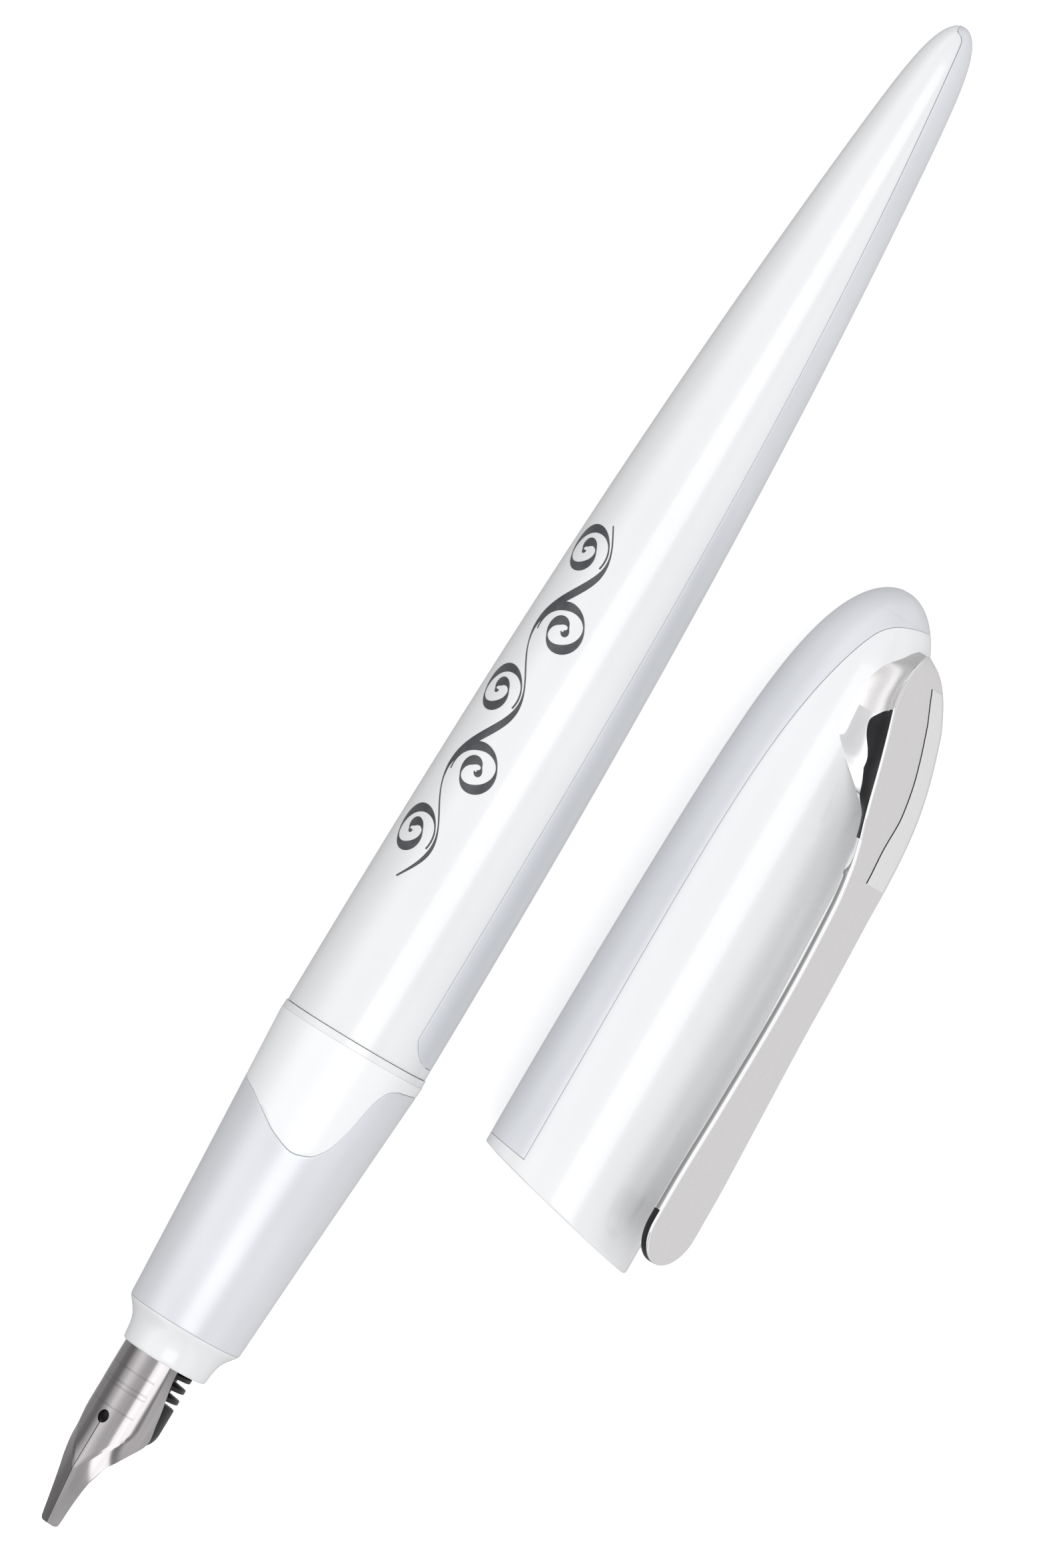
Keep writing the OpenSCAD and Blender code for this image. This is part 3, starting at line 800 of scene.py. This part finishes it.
def clip_loop(x):
    """One section of the clip: the face with its raised panel, a polished bevel, and the walls."""
    half, top = clip_half(x), clip_face(x)
    bevel = min(BEVEL, half * 0.4)
    inside = half - bevel
    edge = min(smooth_through(PANEL, x), inside * 0.6)
    panel = ease((x - PANEL[0][0] + 0.08) / 0.1) * ease((PANEL[-1][0] + 0.08 - x) / 0.1)
    ts = [-inside + (edge - 0.1 + inside) * k / 16 for k in range(17)]
    ts += [edge - 0.05, edge - 0.03, edge + 0.03, edge + 0.05]
    ts += [edge + 0.08 + (inside - 0.25 - edge - 0.08) * k / 10 for k in range(11)]
    ts += [inside - 0.15, inside]
    face = []
    for t in ts:
        raised = 0.05 * (1 - (t / inside) ** 2)
        raised += panel * 0.05 * ease((t - edge) / 0.06) * ease((inside - 0.12 - t) / 0.08)
        raised -= panel * 0.07 * (abs(t - edge) < 0.04)
        face.append((t, top + raised))
    foot = smooth_through(FOOT, x) if x > WALL_X else half - 0.1
    bottom = clip_floor(foot, x)
    rim = [(half - bevel * 0.3, top - bevel * 0.25), (half, top - bevel)]
    knee = 0.55 * ease((x - 39) / 3) * ease((51.5 - x) / 4)
    # The wall gets an edge where its black band of painted shade ends
    dark = max(0.12, smooth_through(PAINTED_SHADE_BAND, x)) * 0.999
    shares = [dark * k / 6 for k in range(1, 7)] + [dark + (1 - dark) * k / 8 for k in range(1, 9)]
    wall = []
    for share in shares:
        t = half + (foot - half) * share**1.6 - knee * math.sin(math.pi * share**0.8)
        wall.append((t, top - bevel + (bottom - top + bevel) * share))
    floor = [(foot * (1 - k / 6), clip_floor(foot * (1 - k / 6), x)) for k in range(1, 12)]
    right = rim + wall
    left = [(-t, h) for t, h in reversed(right)]
    return [(x, h, t) for t, h in face + right + floor + left]


def finish_of(centre):
    """The finish of the clip at this place, with a dark groove along the panel's edge. Black paints shade
    and reflection into that groove, into a band under the face's edge and onto the free end's walls; a
    lighter satin paints a highlight on the raised panel.
    """
    x, height, side = centre
    half, top = clip_half(x), clip_face(x)
    bevel = min(BEVEL, half * 0.4)
    if abs(side) < half - bevel and height > top - 0.12:
        edge = min(smooth_through(PANEL, x), (half - bevel) * 0.6)
        past_ends = x < PANEL[0][0] or x > PANEL[-1][0]
        if past_ends or side < edge - 0.045 or side > half - bevel - 0.1:
            return FROSTED
        # The groove is painted black as shade; the panel beside it takes the lighter satin as a painted
        # highlight
        return PAINTED_SHADE if side < edge + 0.045 else PAINTED_PANEL_HIGHLIGHT
    if height > top - bevel:
        return POLISHED
    share = (top - bevel - height) / (top - bevel - clip_floor(smooth_through(FOOT, x), x))
    # The free end's walls and a band under the face's edge are painted black as shade and reflection
    if x < TIP_X + 0.5 or (x > PAINTED_SHADE_BAND[0][0] and share < smooth_through(PAINTED_SHADE_BAND, x)):
        return PAINTED_SHADE
    return FROSTED if x > 46.2 else POLISHED


def clip():
    """Root and blade in one skin; the two ends of the flex line, where the sprung blade opens, are
    returned beside it.
    """
    tip = [TIP_X - TIP_HALF * math.cos(math.pi / 2 * k / 14) + 0.002 for k in range(15)]
    xs = tip + [TIP_X + 0.9 * k for k in range(1, 34)]
    xs += [34.1, 34.14, 34.18, 34.22, 50.14, 50.18, 50.22, 50.26]
    xs += [33.0 + 0.22 * k for k in range(80)] + [50.7, 51.0, 51.3, 51.6, 51.8, 52.0, 52.15, 52.25]
    xs = sorted({round(x, 3) for x in xs if x <= CLIP_END})
    shape = loft([clip_loop(x) for x in xs], caps="fan")
    # On the clip the black finish is painted shade and reflection, and the panel's lighter satin is a
    # painted highlight
    finishes = [CHROME, SATIN, BLACK_AND_PAINTED_SHADE, PANEL_SATIN_HIGHLIGHT]
    nodes = ["clip_root", "clip_blade"]
    obj = piece("clip_body", shape, CLIP, None, finishes, nodes, sharp=50, pick=finish_of)
    start = CLIP @ (Vector((FLEX_X + FLEX_HALF, 0, 0)) * MM)
    end = CLIP @ (Vector((FLEX_X - FLEX_HALF, 0, 0)) * MM)
    return obj, start, end


# ---- ornament on the barrel ----
ORNAMENT_TURN = math.radians(-39)
INK_CROWN = 0.012


def ribbon(path, widths, lift, steps):
    """A flat inked stroke that follows the barrel: path gives (x, arc) and widths the stroke."""
    loops = []
    for k in range(steps + 1):
        s = k / steps
        x, y = path(s)
        x2, y2 = path(min(1, s + 1e-3))
        x1, y1 = path(max(0, s - 1e-3))
        d = math.hypot(x2 - x1, y2 - y1) or 1
        nx, ny = -(y2 - y1) / d, (x2 - x1) / d
        w = widths(s, math.atan2(y2 - y1, x2 - x1))
        loop = []
        crown = lift + INK_CROWN
        for side, height in ((-1, lift), (-0.6, crown), (0.6, crown), (1, lift), (1, -0.01), (-1, -0.01)):
            px, py = x + nx * w * side, y + ny * w * side
            loop.append(polar(px, barrel_out(px) + height, ORNAMENT_TURN + py / barrel_out(px)))
        loops.append(loop)
    return loft(loops, caps="fan")


def join_shapes(shapes):
    """Puts several (verts, faces) pairs into one."""
    verts, faces = [], []
    for v, f in shapes:
        base = len(verts)
        verts += v
        faces += [tuple(i + base for i in face) for face in f]
    return verts, faces


def scroll(cx, cy, size, turns, start, way):
    """A spiral that winds in from its outer end."""

    def path(s):
        a = start + way * 2 * math.pi * turns * s
        r = size * (1 - s) ** 0.8
        return cx + r * math.cos(a), cy + r * math.sin(a)

    return path


def pen_width(s, angle):
    """Broad-edged pen: thick along one slant, thin across it, and tapering to both ends."""
    slant = abs(math.sin(angle - math.radians(150)))
    taper = min(1, s / 0.15, (1 - s) / 0.15)
    return 0.06 + 0.34 * slant**1.6 * (0.1 + 0.9 * ease(taper))


def ornament():
    """A running vine with a scroll in each bend."""
    start, length, bends = 58.8, 32.6, 5

    def stem(s):
        return start + length * s, 1.5 * math.sin(math.pi * bends * s)

    shapes = [ribbon(stem, pen_width, 0.012, 320)]
    for k in range(bends):
        up = 1 if k % 2 else -1
        middle = start + length * (k + 0.5) / bends
        spiral = scroll(middle + 0.5, up * 1.15, 2.35, 1.75, -up * 1.9, up)
        shapes.append(ribbon(spiral, pen_width, 0.014, 150))
    shape = join_shapes(shapes)
    return piece("barrel_flourish", shape, PEN, "barrel", [PRINT], sharp=60)


# ---- small CAD nodes that stay as they are ----
def paint_kept_nodes():
    """Gives the pieces that keep their CAD mesh a material and smooth shading."""
    kept = {
        "thread_sleeve": WHITE,
        "seal_ring": RUBBER,
        "section_core": PEARL_WHITE,
        "piercing_tube": PEARL_WHITE,
        "ink_cartridge": INK,
        "cartridge_ball": BALL,
        "inner_cap": PEARL_WHITE,
        "snap_collar": WHITE,
        "clip_bead": CHROME,
    }
    for name, material in kept.items():
        mesh = frame["nodes"][name].data
        mesh.materials.clear()
        mesh.materials.append(material)
        for polygon in mesh.polygons:
            polygon.use_smooth = True
        mesh.set_sharp_from_angle(angle=math.radians(30))


# ---- studio ----
def floor():
    """A pale sweep under the pen. Only the camera sees it, so it throws no light back up."""
    size = 6.0
    mesh = bpy.data.meshes.new("floor")
    corners = [(-size, -size, 0), (size, -size, 0), (size, size, 0), (-size, size, 0)]
    mesh.from_pydata(corners, [], [(0, 1, 2, 3)])
    obj = bpy.data.objects.new("floor", mesh)
    obj.location.z = cad_low.z - 0.0001
    obj.visible_diffuse = obj.visible_glossy = False
    bpy.context.scene.collection.objects.link(obj)
    n = Nodes("floor")
    n.set(Roughness=0.9, Base_Color=(0.93, 0.93, 0.93))
    n.set(Emission_Color=(1.0, 1.0, 1.0), Emission_Strength=0.35)
    mesh.materials.append(n.material)


# Brightness of the tent by the angle round the pen's axis, in degrees from overhead, positive
# towards -Y. Two dark gaps give the bright metal something to show.
TENT = [(-180, 0.5), (-118, 0.44), (-104, 0.3), (-88, 0.3), (-78, 0.68), (-56, 1.5), (-34, 0.8),
        (-15, 0.72), (24, 0.72), (28, 0.34), (37, 0.34), (46, 0.95), (70, 0.95), (90, 0.7), (104, 0.85),
        (145, 0.75), (180, 0.5)]


def studio_sky():
    """A white tent that is even along the pen and varies round it."""
    world = bpy.data.worlds.new("studio")
    bpy.context.scene.world = world
    world.use_nodes = True
    tree = world.node_tree
    coords = tree.nodes.new("ShaderNodeTexCoord")
    split = tree.nodes.new("ShaderNodeSeparateXYZ")
    round_pen = tree.nodes.new("ShaderNodeMath")
    round_pen.operation = "ARCTAN2"
    share = tree.nodes.new("ShaderNodeMapRange")
    share.inputs["From Min"].default_value = math.pi
    share.inputs["From Max"].default_value = -math.pi
    ramp = tree.nodes.new("ShaderNodeValToRGB")
    elements = ramp.color_ramp.elements
    while len(elements) < len(TENT):
        elements.new(0.5)
    for element, (angle, level) in zip(elements, TENT):
        element.position = 0.5 + angle / 360
        element.color = (level, level, level * 1.01, 1)
    tree.links.new(coords.outputs["Generated"], split.inputs["Vector"])
    tree.links.new(split.outputs["Y"], round_pen.inputs[0])
    tree.links.new(split.outputs["Z"], round_pen.inputs[1])
    tree.links.new(round_pen.outputs["Value"], share.inputs["Value"])
    tree.links.new(share.outputs["Result"], ramp.inputs["Fac"])
    tree.links.new(ramp.outputs["Color"], tree.nodes["Background"].inputs["Color"])


def lamp(name, size, radiance, tilt, distance=1.0):
    """A softbox over the pen, tilted from straight overhead towards -Y by this many degrees."""
    light = bpy.data.lights.new(name, "AREA")
    light.shape = "RECTANGLE"
    light.size, light.size_y = size
    light.energy = radiance * math.pi * size[0] * size[1]
    obj = bpy.data.objects.new(name, light)
    obj.rotation_euler = (math.radians(tilt), 0, 0)
    obj.location = Vector((0, -math.sin(math.radians(tilt)), math.cos(math.radians(tilt)))) * distance
    obj.visible_camera = False
    bpy.context.scene.collection.objects.link(obj)


# How much of the scene the picture's height takes in, and the place on the pen at its middle
VIEW_TALL = 125.126
VIEW_MIDDLE = (70.15, -0.85, 0)
LENS = 200.0
SENSOR = 36.0
VIEW_TURN = math.radians(-59)


def camera():
    """Straight down, turned so that the pen stands 31 degrees off upright in the picture."""
    data = bpy.data.cameras.new("camera")
    data.lens, data.sensor_width = LENS, SENSOR
    distance = VIEW_TALL * MM / (SENSOR / LENS)
    obj = bpy.data.objects.new("camera", data)
    centre = PEN @ (Vector(VIEW_MIDDLE) * MM)
    obj.location = centre + Vector((0, 0, distance))
    obj.rotation_euler = (0, 0, VIEW_TURN)
    bpy.context.scene.collection.objects.link(obj)
    bpy.context.scene.camera = obj


camera()
floor()
studio_sky()
lamp("overhead", (1.2, 0.62), 1.7, 7)
bpy.context.scene.view_settings.view_transform = "Standard"

paint_kept_nodes()
barrel_shell()
barrel_strip()
barrel_ring()
section()
nib_holder()
nib()
feed()
cap_shell()
cap_strip()
clip_piece, bend_start, bend_end = clip()
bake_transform(clip_piece)
ornament()
